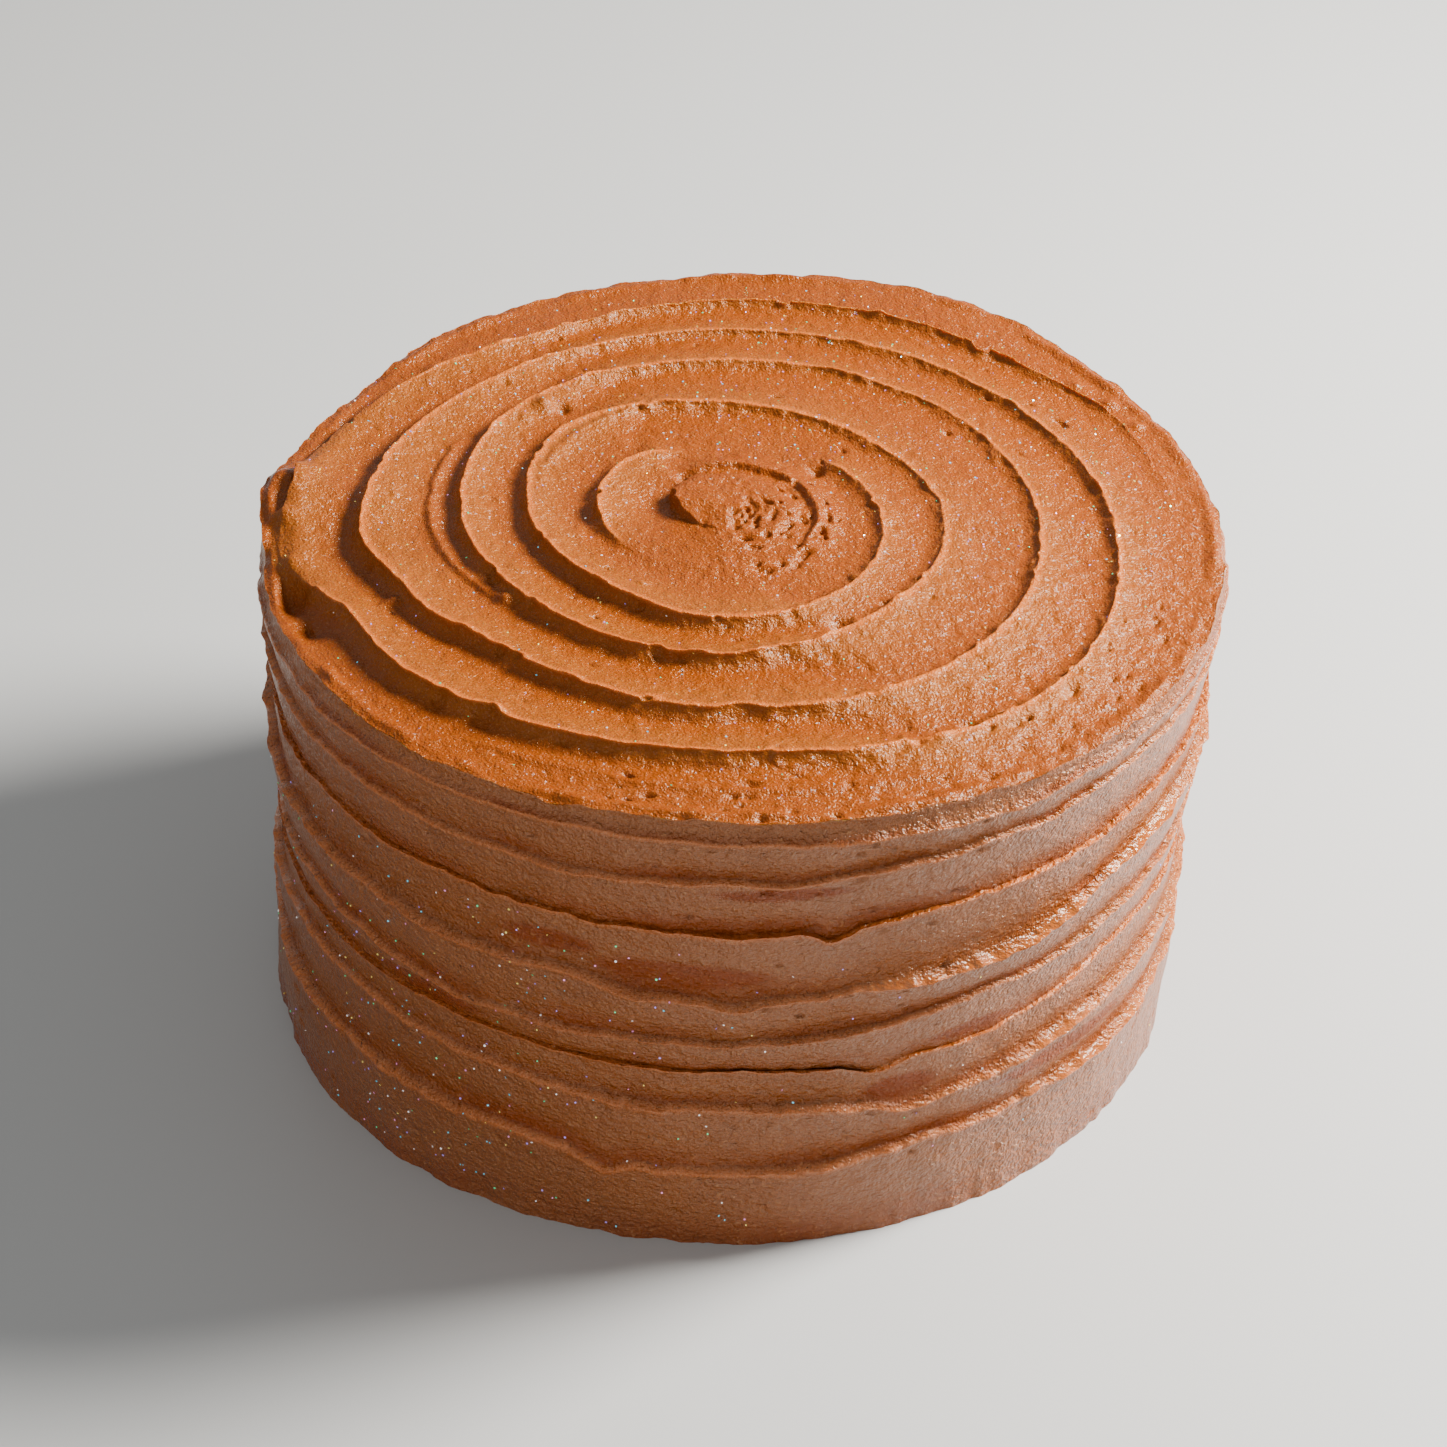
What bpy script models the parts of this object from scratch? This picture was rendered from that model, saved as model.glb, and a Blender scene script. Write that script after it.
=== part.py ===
"""A round chocolate layer cake, iced all over with chocolate buttercream by palette knife.

The top carries one spiral groove whose crest winds inwards to a small torn slab, and the side
carries level passes of the knife that meet in low crests. The cake is uncut, so it is one
solid. Angles are seen from above: 0 points right, 90 to the back and 270 to the front.
"""

import math

import bmesh
import bpy
import numpy as np
from mathutils import Vector
from mathutils.geometry import delaunay_2d_cdt

# Driving dimensions, in metres: a 6 inch cake under about 5 mm of icing. It leans a little.
FOOT_RADIUS = 0.0797
WAIST_RADIUS = 0.0790
RIM_RADIUS = 0.0806
RIM_HEIGHT = 0.0924
FOOT_CENTRE = (0.0006, 0.0020)
RIM_CENTRE = (0.0029, -0.0008)
OUTLINE_WAVES = ((3, 0.0006, 95), (2, 0.0002, 90), (5, 0.0002, 80))
RIM_WAVES = ((1, 0.0003, 80), (2, 0.0004, 20), (5, 0.0002, 150))

# Where the rim swells or dips: angle, half width in degrees, how far out and how far up, in metres.
RIM_SWELLS = (
    (60, 16, 0.0008, 0.0014),
    (152, 14, -0.0016, -0.0006),
    (176, 6, 0.0012, 0.0012),
    (192, 8, 0.0004, -0.0012),
    (270, 25, -0.0008, 0.0005),
)

# The spiral on top. The knife's crest starts at the back of the rim and winds inwards: each row
# is one turn, and gives the crest's distance from the centre, in millimetres, at 180 degrees and
# at each eighth of a turn after that.
SWIRL_CENTRE = (0.0, -0.0010)
SWIRL_START_ANGLE = 180
KNIFE_TURNS = (
    (90.0, 88.0, 85.0, 81.0, 77.8, 71.5, 70.3, 68.8),
    (74.4, 68.2, 64.7, 69.7, 65.6, 61.5, 59.8, 58.4),
    (60.2, 53.2, 54.0, 54.9, 52.9, 51.5, 49.0, 48.4),
    (44.5, 40.8, 40.2, 37.2, 37.0, 34.3, 34.6, 38.0),
    (33.2, 29.3, 30.4, 28.6, 26.2, 24.0, 20.6, 22.9),
    (21.3, 17.2, 15.5, 14.5, 13.0, 12.0, 11.0, 10.0),
    (9.0, 8.0, 7.0, 6.0, 5.0, 4.0, 3.0, 2.0),
)
# Where the knife skipped: turns in from the start, half width in turns, and shift outwards, mm.
KNIFE_SKIPS = (
    (-0.425, 0.035, 2.2), (-0.172, 0.045, -1.8), (0.020, 0.016, 1.4), (0.068, 0.030, -3.2),
    (1.020, 0.022, 1.7), (1.085, 0.022, 1.4),
)
FIRST_TURN = -0.50
LAST_TURN = 4.12
CREST_HEIGHT = 0.0029
FACE_WIDTH = 0.0022
DOME_HEIGHT = 0.0016
STEEP_ANGLE = 207

# Lumps and dents where icing curled over: angle, distance from the swirl's centre, reach and
# height, all three in millimetres.
LUMPS = ((196, 75.5, 4.2, -2.6), (204, 74.0, 3.6, -1.6), (172, 76.0, 3.2, 1.5), (181, 75.5, 2.2, 1.2))

# The slab in the middle that tore off the knife, and the arc of icing behind it, in metres.
SLAB_HEIGHT = 0.0023
SLAB_EDGE = -0.0086
ARC_HEIGHT = 0.0013
ARC_RADIUS = 0.0156
ARC_FOOT = 0.0140

# Each crest round the side: its height at the angles of CREST_ANGLES, and how far it stands out.
CREST_ANGLES = (210, 240, 270, 300, 330)
SIDE_CRESTS = (
    ((0.0880, 0.0885, 0.0885, 0.0880, 0.0890), 0.0014),
    ((0.0790, 0.0800, 0.0800, 0.0822, 0.0835), 0.0013),
    ((0.0690, 0.0695, 0.0690, 0.0708, 0.0715), 0.0012),
    ((0.0575, 0.0578, 0.0545, 0.0562, 0.0630), 0.0021),
    ((0.0465, 0.0445, 0.0455, 0.0482, 0.0505), 0.0015),
    ((0.0400, 0.0396, 0.0390, 0.0382, 0.0420), 0.0010),
    ((0.0330, 0.0320, 0.0308, 0.0285, 0.0315), 0.0018),
    ((0.0195, 0.0190, 0.0165, 0.0190, 0.0192), 0.0019),
)
RIM_LIP = 0.0002
FOOT_FLARE = 0.0010

# How finely the solid is faceted.
STATIONS = 96
TOP_SPACING = 0.0038
MIDDLE_RADIUS = 0.0172
RIM_INSET = 0.0014
BAND_ROWS = (0.10, 0.45, 0.78, 1.0)
SWIRL_LINES = (0.0, 0.16, 0.40, 0.64, 0.85)


def waves(angle, orders):
    """A closed wavy line: each entry is waves per turn, height and the angle of a wave's top."""
    return sum(size * np.cos(np.radians(n * (angle - top))) for n, size, top in orders)


def smooth(value, low, high):
    """Rises smoothly from 0 at low to 1 at high."""
    share = np.clip((value - low) / (high - low), 0.0, 1.0)
    return share * share * (3.0 - 2.0 * share)


def swirl_radius(turn):
    """How far the crest is from the swirl's centre, this many turns in from the left of the rim."""
    radii = np.concatenate([np.array(row) for row in KNIFE_TURNS])
    place = np.clip((turn + 1.0) * 8.0, 1.0, len(radii) - 2.001)
    knot = np.floor(place).astype(int)
    share = place - knot
    before, start, end, after = (radii[knot + step] for step in (-1, 0, 1, 2))
    bend = 2.0 * before - 5.0 * start + 4.0 * end - after
    twist = 3.0 * (start - end) + after - before
    radius = start + 0.5 * share * (end - before + share * (bend + share * twist))
    for at, width, shift in KNIFE_SKIPS:
        radius = radius + shift * np.exp(-(((turn - at) / width) ** 2))
    return radius / 1000.0


def crest_strength(turn):
    """The crest's height as a share of its full height: lower on the right, and fading at both ends."""
    angle = SWIRL_START_ANGLE + 360.0 * turn
    swell = 0.68 - 0.25 * np.cos(np.radians(angle - 35.0)) + 0.06 * np.sin(2.0 * math.pi * 2.3 * turn)
    gap = smooth(turn, 3.60, 3.65) * (1.0 - smooth(turn, 3.79, 3.86))
    taper = (1.0 - 0.03 * np.clip(turn, 0.0, LAST_TURN)) * (1.0 - 0.85 * gap)
    start = smooth(turn, FIRST_TURN, FIRST_TURN + 0.12)
    return swell * taper * start * (1.0 - smooth(turn, LAST_TURN - 0.16, LAST_TURN))


def steep_outside(angle):
    """1 where the crest's outer face is its steep one, on the left, and 0 where its inner face is."""
    return np.clip(0.5 + 1.3 * np.cos(np.radians(angle - STEEP_ANGLE)), 0.0, 1.0)


def groove_height(x, y):
    """Height of the knife's groove and its crests above the trough, at points seen from above."""
    across, along = x - SWIRL_CENTRE[0], y - SWIRL_CENTRE[1]
    radius = np.hypot(across, along)
    angle = np.degrees(np.arctan2(along, across))
    part_turn = ((angle - SWIRL_START_ANGLE) / 360.0) % 1.0
    steep = steep_outside(angle)
    height = np.zeros_like(radius)
    for whole in range(-1, int(LAST_TURN) + 2):
        turn = part_turn + whole
        outer, inner = swirl_radius(turn), swirl_radius(turn + 1.0)
        inside = (radius <= outer) & (radius > inner)
        gentle = 0.95 * np.maximum(outer - inner, 2.0 * FACE_WIDTH)
        fall_width = FACE_WIDTH + (gentle - FACE_WIDTH) * steep
        rise_width = gentle - (gentle - FACE_WIDTH) * steep
        falling = np.clip(1.0 - (outer - radius) / fall_width, 0.0, 1.0) ** (1.0 + 0.5 * steep)
        rising = np.clip(1.0 - (radius - inner) / rise_width, 0.0, 1.0) ** (1.6 - 0.5 * steep)
        crests = crest_strength(turn) * falling + crest_strength(turn + 1.0) * rising
        height = np.where(inside, crests, height)
    return CREST_HEIGHT * height


def torn_edge(along):
    """How far left the slab's torn end lies, this far back from the swirl's centre."""
    bend = np.where(along > 0.004, 35.0, 90.0)
    return SLAB_EDGE + bend * (along - 0.004) ** 2


def middle_height(x, y):
    """The slab of icing in the middle that the knife tore off, and the arc of icing behind it."""
    across, along = x - SWIRL_CENTRE[0], y - SWIRL_CENTRE[1]
    radius = np.hypot(across, along)
    angle = np.degrees(np.arctan2(along, across))
    arc_inner = smooth(radius, ARC_FOOT, ARC_RADIUS)
    arc_outer = np.clip(1.0 - (radius - ARC_RADIUS) / 0.0055, 0.0, 1.0) ** 1.6
    arc = np.where(radius < ARC_RADIUS, arc_inner, arc_outer)
    arc = arc * smooth(angle, -50, -15) * (1.0 - smooth(angle, 95, 122))
    edge = smooth(across - torn_edge(along), -0.0006, 0.0006)
    back = 1.0 - smooth(along + 0.15 * across, 0.0110, 0.0130)
    front = smooth(along, -0.0140, -0.0020)
    slope = (1.0 - 0.35 * smooth(across, -0.006, 0.010)) * (1.0 - 0.75 * smooth(radius, 0.009, 0.0146))
    mound = 0.0006 * (1.0 - smooth(radius, 0.013, 0.022))
    return SLAB_HEIGHT * edge * back * front * slope + ARC_HEIGHT * arc + mound


def rim_swell(angle, which):
    """How far the rim swells out (which 2) or up (which 3) at this angle."""
    total = 0.0
    for swell in RIM_SWELLS:
        turned = (angle - swell[0] + 180.0) % 360.0 - 180.0
        total = total + swell[which] * np.exp(-((turned / swell[1]) ** 2))
    return total


def rim_height(angle):
    return RIM_HEIGHT + waves(angle, RIM_WAVES) + rim_swell(angle, 3)


def axis_at(height):
    """The cake's own axis leans a little: its place at this height, seen from above."""
    share = height / RIM_HEIGHT
    return tuple(foot + (rim - foot) * share for foot, rim in zip(FOOT_CENTRE, RIM_CENTRE))


def top_height(x, y):
    """Height of the iced top at points seen from above, out to the rim."""
    centre = axis_at(RIM_HEIGHT)
    across, along = x - centre[0], y - centre[1]
    angle = np.degrees(np.arctan2(along, across))
    reach = np.hypot(across, along) / (RIM_RADIUS + rim_swell(angle, 2))
    dome = DOME_HEIGHT * (1.0 - reach**2)
    edge = smooth(reach, 0.91, 0.995)
    relief = groove_height(x, y) * (1.0 - edge) + middle_height(x, y)
    for at, radius, spread, height in LUMPS:
        lump_x = SWIRL_CENTRE[0] + radius / 1000.0 * math.cos(math.radians(at))
        lump_y = SWIRL_CENTRE[1] + radius / 1000.0 * math.sin(math.radians(at))
        away = np.hypot(x - lump_x, y - lump_y) * 1000.0 / spread
        relief = relief + height / 1000.0 * np.exp(-(away**2)) * (1.0 - smooth(reach, 0.93, 0.99))
    return RIM_HEIGHT + (rim_height(angle) - RIM_HEIGHT) * smooth(reach, 0.6, 1.0) + dome + relief


def crest_height(heights, angle):
    """A side crest's height at any angle: smooth between its named heights, level round the back."""
    ends = (heights[0] + heights[-1]) / 2.0
    known = np.array([*CREST_ANGLES, CREST_ANGLES[-1] + 60, CREST_ANGLES[0] + 300, CREST_ANGLES[0] + 360])
    values = np.array([*heights, ends + 0.0012, ends - 0.0010, heights[0]])
    turned = (angle - CREST_ANGLES[0]) % 360.0 + CREST_ANGLES[0]
    left = np.clip(np.searchsorted(known, turned, side="right") - 1, 0, len(known) - 2)
    share = smooth(turned, known[left], known[left + 1])
    return values[left] * (1.0 - share) + values[left + 1] * share


def pass_shape(share):
    """One knife pass from the crest above (0) to its own crest (1): an undercut, a hollow and a flare."""
    undercut = 0.25 * np.clip(1.0 - share / 0.14, 0.0, 1.0)
    flare = np.clip((share - 0.15) / 0.85, 0.0, 1.0) ** 2.6
    return undercut, flare


def side_point(angle, height, relief):
    """A point of the side at this angle and height, standing out by relief from the plain wall."""
    share = height / RIM_HEIGHT
    waist = 4.0 * share * (1.0 - share) * (WAIST_RADIUS - (FOOT_RADIUS + RIM_RADIUS) / 2.0)
    radius = FOOT_RADIUS + (RIM_RADIUS - FOOT_RADIUS) * share + waist
    radius = radius + waves(angle, OUTLINE_WAVES) + rim_swell(angle, 2) * smooth(share, 0.86, 1.0) + relief
    centre = axis_at(height)
    turned = np.radians(angle)
    return (
        centre[0] + radius * np.cos(turned),
        centre[1] + radius * np.sin(turned),
        height,
    )


def side_rows(angle):
    """The points of one upright line of the side, from the rim down to the foot."""
    crests = [(rim_height(angle), RIM_LIP)]
    crests += [(crest_height(heights, angle), stand_out) for heights, stand_out in SIDE_CRESTS]
    crests.append((0.0, FOOT_FLARE))
    points = [side_point(angle, crests[0][0], RIM_LIP)]
    for (upper, upper_out), (lower, lower_out) in zip(crests, crests[1:]):
        for share in BAND_ROWS:
            undercut, flare = pass_shape(share)
            relief = upper_out * undercut + lower_out * flare
            points.append(side_point(angle, upper + (lower - upper) * share, relief))
    return points


def ring_inside(rim, inset):
    """The rim's points moved towards the cake's axis by inset, seen from above."""
    centre = Vector(axis_at(RIM_HEIGHT))
    moved = []
    for point in rim:
        flat = Vector(point[:2])
        moved.append(flat - (flat - centre).normalized() * inset)
    return moved


def swirl_points(centre):
    """Points of the top seen from above, and the edges between them along the spiral."""
    limit = RIM_RADIUS - 1.7 * RIM_INSET
    points, edges = [], []
    for share in SWIRL_LINES:
        turn, before = -1.9, None
        while turn < LAST_TURN + 0.35:
            radius = (1.0 - share) * swirl_radius(turn) + share * swirl_radius(turn + 1.0)
            angle = SWIRL_START_ANGLE + 360.0 * turn
            spot = polar_point(angle, radius)
            if radius > MIDDLE_RADIUS and (spot - centre).length < limit:
                points.append(spot)
                if before is not None:
                    edges.append((before, len(points) - 1))
                before = len(points) - 1
            else:
                before = None
            turn += TOP_SPACING / (2.0 * math.pi * max(radius, 0.008))
    return points, edges


def middle_points():
    """Points of the middle seen from above, and the edges along its arc and its torn end."""
    points, edges = [], []
    lines = []
    for radius in (ARC_FOOT, ARC_RADIUS):
        lines.append([polar_point(angle, radius) for angle in range(-54, 121, 12)])
    for offset in (-0.0007, 0.0007):
        steps = [-0.0032 + 0.0018 * step for step in range(9)]
        lines.append([
            Vector((SWIRL_CENTRE[0] + float(torn_edge(along)) + offset, SWIRL_CENTRE[1] + along))
            for along in steps
        ])
    for line in lines:
        edges += [(len(points) + step, len(points) + step + 1) for step in range(len(line) - 1)]
        points += line
    for radius, count in ((0.0148, 24), (0.0105, 18), (0.0065, 11), (0.0025, 4)):
        for step in range(count):
            spot = polar_point(360.0 * step / count, radius)
            if min((spot - other).length for other in points) > 0.0016:
                points.append(spot)
    return points, edges


def polar_point(angle, radius):
    """A point seen from above, at this angle and distance from the swirl's centre."""
    turned = math.radians(angle)
    return Vector((SWIRL_CENTRE[0] + radius * math.cos(turned), SWIRL_CENTRE[1] + radius * math.sin(turned)))


def add_side(mesh, columns):
    """Skins the side between neighbouring upright lines, and returns the rim's vertices."""
    made = [[mesh.verts.new(point) for point in column] for column in columns]
    for column, following in zip(made, made[1:] + made[:1]):
        for row in range(len(column) - 1):
            mesh.faces.new((column[row], column[row + 1], following[row + 1], following[row]))
    mesh.faces.new([column[-1] for column in reversed(made)])
    return [column[0] for column in made]


def add_top(mesh, rim_verts):
    """Triangulates the top over its points seen from above, then lifts each one to its height."""
    rim = [vert.co for vert in rim_verts]
    centre = Vector(axis_at(RIM_HEIGHT))
    inner, inner_edges = swirl_points(centre)
    ring = ring_inside(rim, RIM_INSET)
    loop = [Vector(point[:2]) for point in rim]
    count = len(loop)
    middle, middle_edges = middle_points()
    flat = loop + ring + inner + middle
    edges = [(i, (i + 1) % count) for i in range(count)]
    edges += [(a + 2 * count, b + 2 * count) for a, b in inner_edges]
    edges += [(a + 2 * count + len(inner), b + 2 * count + len(inner)) for a, b in middle_edges]
    spots, _, faces, origins, _, _ = delaunay_2d_cdt(flat, edges, [], 1, 1e-7)
    x = np.array([spot.x for spot in spots])
    y = np.array([spot.y for spot in spots])
    heights = top_height(x, y)
    verts = []
    for spot, height, sources in zip(spots, heights, origins):
        on_rim = [source for source in sources if source < count]
        verts.append(rim_verts[on_rim[0]] if on_rim else mesh.verts.new((spot.x, spot.y, height)))
    for face in faces:
        mesh.faces.new([verts[index] for index in face])


def centre_on_origin(mesh):
    """Puts the middle of the cake's footprint box over the origin, with its foot at zero height."""
    places = np.array([vert.co for vert in mesh.verts])
    low, high = places.min(axis=0), places.max(axis=0)
    middle = (low + high) / 2.0
    bmesh.ops.translate(mesh, verts=mesh.verts, vec=(-middle[0], -middle[1], -low[2]))


def icing_material():
    """Milk chocolate buttercream: a mid brown with a soft sheen."""
    material = bpy.data.materials.new("chocolate_buttercream")
    material.use_nodes = True
    shader = material.node_tree.nodes["Principled BSDF"]
    shader.inputs["Base Color"].default_value = (0.29, 0.115, 0.045, 1.0)
    shader.inputs["Roughness"].default_value = 0.42
    shader.inputs["Metallic"].default_value = 0.0
    return material


def build_cake():
    """The whole iced cake as one closed solid."""
    mesh = bmesh.new()
    angles = [360.0 * station / STATIONS for station in range(STATIONS)]
    rim_verts = add_side(mesh, [side_rows(angle) for angle in angles])
    add_top(mesh, rim_verts)
    bmesh.ops.triangulate(mesh, faces=mesh.faces)
    bmesh.ops.recalc_face_normals(mesh, faces=mesh.faces)
    centre_on_origin(mesh)
    data = bpy.data.meshes.new("cake")
    mesh.to_mesh(data)
    mesh.free()
    data.materials.append(icing_material())
    data.shade_smooth()
    cake = bpy.data.objects.new("cake", data)
    bpy.context.scene.collection.objects.link(cake)
    return cake


def main():
    for old in list(bpy.data.objects):
        bpy.data.objects.remove(old)
    build_cake()


main()
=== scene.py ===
"""A round chocolate layer cake in chocolate buttercream, iced by palette knife.

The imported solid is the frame. Here the icing is modelled again, fine enough for ragged crests, lips,
torn bits and air pits, and gets its buttercream finish, a dusting of edible glitter and a studio.
Angles are seen from above in degrees: 0 points right, 90 to the back and 270 to the camera's side.
"""

import math

import bmesh
import bpy
import numpy as np
from bpy.props import FloatProperty, FloatVectorProperty, IntProperty, PointerProperty
from mathutils import Matrix, Vector


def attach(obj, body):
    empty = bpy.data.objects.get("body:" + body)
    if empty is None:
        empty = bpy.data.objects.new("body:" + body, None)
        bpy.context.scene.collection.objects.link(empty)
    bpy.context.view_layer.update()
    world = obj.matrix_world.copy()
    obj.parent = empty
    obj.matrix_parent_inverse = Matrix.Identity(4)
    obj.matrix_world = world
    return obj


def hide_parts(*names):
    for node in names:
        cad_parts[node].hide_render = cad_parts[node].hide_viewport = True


bl_info = {
    "name": "Buttercream layer cake",
    "version": (1, 0, 0),
    "blender": (4, 5, 0),
    "location": "View3D > Sidebar > Cake",
    "description": "Ices a round layer cake by palette knife: a spiral on top, ridges round the side",
    "category": "Object",
}

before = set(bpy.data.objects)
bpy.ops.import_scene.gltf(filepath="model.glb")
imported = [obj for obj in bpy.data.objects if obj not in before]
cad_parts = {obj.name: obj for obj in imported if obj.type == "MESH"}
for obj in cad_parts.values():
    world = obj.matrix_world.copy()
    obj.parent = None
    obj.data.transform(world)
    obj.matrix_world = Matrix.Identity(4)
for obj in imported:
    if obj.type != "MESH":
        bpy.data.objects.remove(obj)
MM = 0.001

# The cake under its icing relief, in metres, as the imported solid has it.
FOOT_RADIUS = 0.0797
WAIST_RADIUS = 0.0790
RIM_RADIUS = 0.0806
RIM_HEIGHT = 0.0924
FOOT_CENTRE = (0.0006, 0.0020)
RIM_CENTRE = (0.0029, -0.0008)
OUTLINE_WAVES = ((3, 0.0006, 95), (2, 0.0002, 90), (5, 0.0002, 80))
RIM_WAVES = ((1, 0.0003, 80), (2, 0.0004, 20), (5, 0.0002, 150))

# Where the rim swells or dips: angle, half width in degrees, how far out and how far up, in metres.
RIM_SWELLS = (
    (60, 16, 0.0008, 0.0014),
    (152, 14, -0.0016, -0.0006),
    (175, 6, 0.0018, 0.0018),
    (195, 10, 0.0003, -0.0018),
    (270, 25, -0.0008, 0.0005),
)

# How far the rim's torn edge strays out and up, in metres.
RIM_TEAR = (0.0008, 0.0008)

# The spiral's crest: each row is one turn inwards, and gives the crest's distance from the swirl's
# centre, in millimetres, at 180 degrees and at each eighth of a turn after that.
SWIRL_CENTRE = (0.0, -0.0010)
SWIRL_START_ANGLE = 180
KNIFE_TURNS = (
    (90.0, 88.0, 85.0, 81.0, 77.8, 71.5, 70.3, 68.8),
    (74.4, 68.2, 64.7, 69.7, 65.6, 61.5, 59.8, 58.4),
    (60.2, 53.2, 54.0, 54.9, 52.9, 51.5, 49.0, 48.4),
    (44.5, 40.8, 40.2, 37.2, 37.0, 34.3, 34.6, 38.0),
    (33.2, 29.3, 30.4, 28.6, 26.2, 24.0, 20.6, 22.9),
    (21.3, 17.2, 15.5, 14.5, 13.0, 12.0, 11.0, 10.0),
    (9.0, 8.0, 7.0, 6.0, 5.0, 4.0, 3.0, 2.0),
)
# Where the knife skipped: turns in from the start, half width in turns, and shift outwards, mm.
KNIFE_SKIPS = (
    (-0.425, 0.035, 2.2), (-0.172, 0.045, -1.8), (0.020, 0.016, 1.4), (0.068, 0.030, -3.2),
    (0.155, 0.006, -1.2), (1.020, 0.022, 1.7), (1.085, 0.022, 1.4), (1.258, 0.010, -1.2),
)
# Lumps and dents where icing curled or tore: angle, distance from the swirl's centre, reach and
# height, all three in millimetres.
LUMPS = (
    (196, 75.5, 4.2, -2.6), (204, 74.0, 3.6, -1.6), (172, 76.0, 3.2, 1.5), (181, 75.5, 2.2, 1.2),
    (134, 46.0, 1.5, 1.3), (131, 44.0, 1.3, -1.3), (190, 73.6, 1.5, 0.7), (198, 71.2, 1.3, 0.6),
    (205, 68.8, 1.6, 0.8), (204, 59.7, 1.3, 0.9), (214, 43.5, 1.4, 0.9), (237, 65.8, 1.1, 0.8),
    (44, 21.4, 1.3, -1.2), (30, 78.0, 1.5, 0.9), (36, 76.5, 1.2, 0.7), (24, 78.6, 1.2, 0.7),
    (132, 69.0, 1.3, -1.0), (138, 70.5, 1.4, 0.7), (67, 71.0, 1.2, 0.7), (302, 35.0, 1.5, -1.2),
    (320, 37.4, 1.8, 0.7), (300, 69.0, 1.8, 0.6), (305, 67.0, 1.3, -0.8), (120, 13.9, 1.4, -1.2),
)
# Low lips between the crests: points as angle and distance from the centre, then width and height, mm.
FAINT_LINES = (
    (((150, 52.0), (162, 50.8), (180, 50.0), (200, 47.0), (218, 43.0)), 2.0, 0.8),
    (((96, 33.6), (112, 35.3), (120, 35.7), (140, 35.2), (160, 33.0)), 1.6, 0.5),
    (((232, 72.5), (250, 71.0), (275, 72.0), (300, 75.0)), 2.5, 0.4),
)
FIRST_TURN = -0.50
LAST_TURN = 4.12
CREST_HEIGHT = 0.0029
FACE_WIDTH = 0.0036
CREST_LEAN = 0.0004
DOME_HEIGHT = 0.0016
STEEP_ANGLE = 207

# Each ridge round the side: its height at the angles of RIDGE_ANGLES, and how far it stands out.
RIDGE_ANGLES = (210, 240, 270, 300, 330)
RIDGES = (
    ((0.0880, 0.0885, 0.0885, 0.0880, 0.0890), 0.0014),
    ((0.0790, 0.0800, 0.0800, 0.0822, 0.0835), 0.0013),
    ((0.0690, 0.0695, 0.0690, 0.0708, 0.0715), 0.0012),
    ((0.0575, 0.0578, 0.0545, 0.0562, 0.0630), 0.0021),
    ((0.0465, 0.0445, 0.0455, 0.0482, 0.0505), 0.0015),
    ((0.0400, 0.0396, 0.0390, 0.0382, 0.0420), 0.0010),
    ((0.0330, 0.0320, 0.0308, 0.0285, 0.0315), 0.0018),
    ((0.0195, 0.0190, 0.0165, 0.0190, 0.0192), 0.0019),
)
RIM_LIP = 0.0002
FOOT_FLARE = 0.0010
# Bands of the side, counted down from the rim, that swell out softly to the line below them.
SOFT_BANDS = (0, 8)
# Share of a ridge's relief that the flat of its band keeps, and the share of the band's height that its
# ragged edge takes up.
BAND_BODY = 0.88
EDGE_SHARE = 0.07
# Where the side is pressed smooth and dark: angle, height, half width in degrees and half height, mm.
PRESSED = (
    (264, 59.5, 11, 3.2), (248, 63.0, 6, 2.5), (291, 31.5, 5, 3.0), (232, 42.0, 8, 2.2),
    (300, 40.5, 6, 1.8), (275, 78.0, 8, 1.4), (315, 26.0, 12, 2.0), (60, 50.0, 14, 3.0),
    (130, 30.0, 12, 2.5),
)
# Ridges whose lip is a smooth shiny bead: ridge, first and last angle.
SHINY_LIPS = ((3, 284, 336), (7, 296, 340), (6, 300, 322))
# Where a ridge sags or its edge has torn: ridge, angle, half width in degrees, and drop in metres.
RIDGE_SAGS = (
    (1, 306, 3.0, 0.0012), (2, 281, 2.2, 0.0022), (3, 270, 2.0, 0.0012), (3, 249, 4.0, -0.0008),
    (5, 288, 3.5, 0.0022), (6, 293, 4.0, 0.0020), (7, 256, 2.5, 0.0032), (7, 262, 2.0, 0.0014),
)

# How finely the icing is meshed: under 200,000 triangles in each piece. A ring of the top has its inner
# and outer radius, cut off at the rim, and a part of the side its first and last line.
TOP_CELLS = 300
TOP_RINGS = (("outer", 0.0600, 1.0), ("inner", 0.0330, 0.0600))
RING_COLUMNS = 960
RING_ROWS = 94
RING_SAMPLES = 240
SIDE_PARTS = (("upper", 0, 3), ("middle", 3, 6), ("lower", 6, 9))
SIDE_COLUMNS = 1000
PART_ROWS = 66
SHELL_DEPTH = 0.004
# The side's noise is drawn round a circle of this radius, so that it closes on itself.
NOISE_RADIUS = 0.08

# How the icing differs on top and round the side: grains in a metre and their depth, strength of the
# sheen, how far the knife drew the icing out level, glaze of sugar crystals, how much light goes in,
# and depth of the knife's marks.
TOP_FINISH = {
    "grains": 2400.0, "sparkle": 0.5, "shine": 0.32, "drag": 1.0, "glaze": 0.12, "glow": 0.25,
    "rough": 0.7,
}
SIDE_FINISH = {
    "grains": 1500.0, "sparkle": 1.0, "shine": 0.85, "drag": 1.6, "glaze": 0.12, "glow": 0.12,
    "rough": 1.0,
}
# The sheen where the knife pressed the icing smooth, and the grain's depth on the shiny beads.
PRESSED_SHINE = 0.3
SKIN_GRAIN = 0.1

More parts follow.
